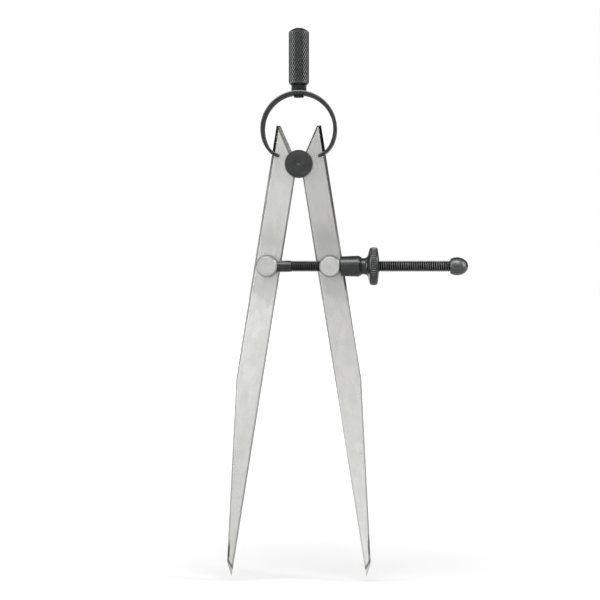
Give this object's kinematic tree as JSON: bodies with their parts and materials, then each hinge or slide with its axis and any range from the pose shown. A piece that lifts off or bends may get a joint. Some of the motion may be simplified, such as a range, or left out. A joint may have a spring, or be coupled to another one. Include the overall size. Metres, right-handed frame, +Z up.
{
  "type": "flat leg divider",
  "caption": "Spring divider with pointed flat steel legs on a fulcrum stud, a bow spring with a knurled handle, and an adjusting screw with a knurled nut.",
  "frame": {"origin": "centre of the handle's grip, on its axis, where the divider is held upright", "axes": "+Z up along the handle, +X along the adjusting screw towards the nut, front of the divider faces -Y"},
  "size_m": [0.0872, 0.0162, 0.1996],
  "materials": {
    "bright_steel": "ground steel, satin",
    "black_steel": "black oxide on steel, satin"
  },
  "bodies": {
    "head": {"handle": "black_steel", "bow_spring": "black_steel", "fulcrum_stud": "black_steel", "fulcrum_rear_flange": "black_steel"},
    "left_leg": {"left_leg": "bright_steel"},
    "right_leg": {"right_leg": "bright_steel"},
    "screw": {"anchor_post": "bright_steel", "anchor_post_washer": "bright_steel", "anchor_pin": "bright_steel", "adjusting_screw": "black_steel", "screw_end_knob": "black_steel"},
    "guide": {"guide_post": "bright_steel", "guide_post_washer": "bright_steel", "thrust_sleeve": "black_steel"},
    "nut": {"adjusting_nut": "black_steel"}
  },
  "joints": [
    {"name": "left_leg_swing", "type": "hinge", "parent": "head", "child": "left_leg", "pos_m": [0, 0, -0.03844], "axis": [0, 1, 0], "range_deg": [-9.25, 20.75], "deforming": ["bow_spring"]},
    {"name": "right_leg_swing", "type": "hinge", "parent": "head", "child": "right_leg", "pos_m": [0, 0, -0.03844], "axis": [0, -1, 0], "range_deg": [-9.25, 20.75], "deforming": ["bow_spring"]},
    {"name": "screw_swivel", "type": "hinge", "parent": "left_leg", "child": "screw", "pos_m": [-0.01139, 0, -0.07551], "axis": [0, -1, 0], "range_deg": [-9.25, 20.75]},
    {"name": "guide_swivel", "type": "hinge", "parent": "right_leg", "child": "guide", "pos_m": [0.01139, 0, -0.07551], "axis": [0, 1, 0], "range_deg": [-9.25, 20.75]},
    {"name": "nut_spin", "type": "hinge", "parent": "guide", "child": "nut", "pos_m": [0.02739, -0.00565, -0.07551], "axis": [1, 0, 0], "range_deg": [-5299.2, 11923.2]}
  ],
  "couplings": [
    {"joint": "left_leg_swing", "follows": "nut_spin", "ratio": 0.0017361},
    {"joint": "right_leg_swing", "follows": "nut_spin", "ratio": 0.0017361},
    {"joint": "screw_swivel", "follows": "nut_spin", "ratio": 0.0017361},
    {"joint": "guide_swivel", "follows": "nut_spin", "ratio": 0.0017361}
  ]
}
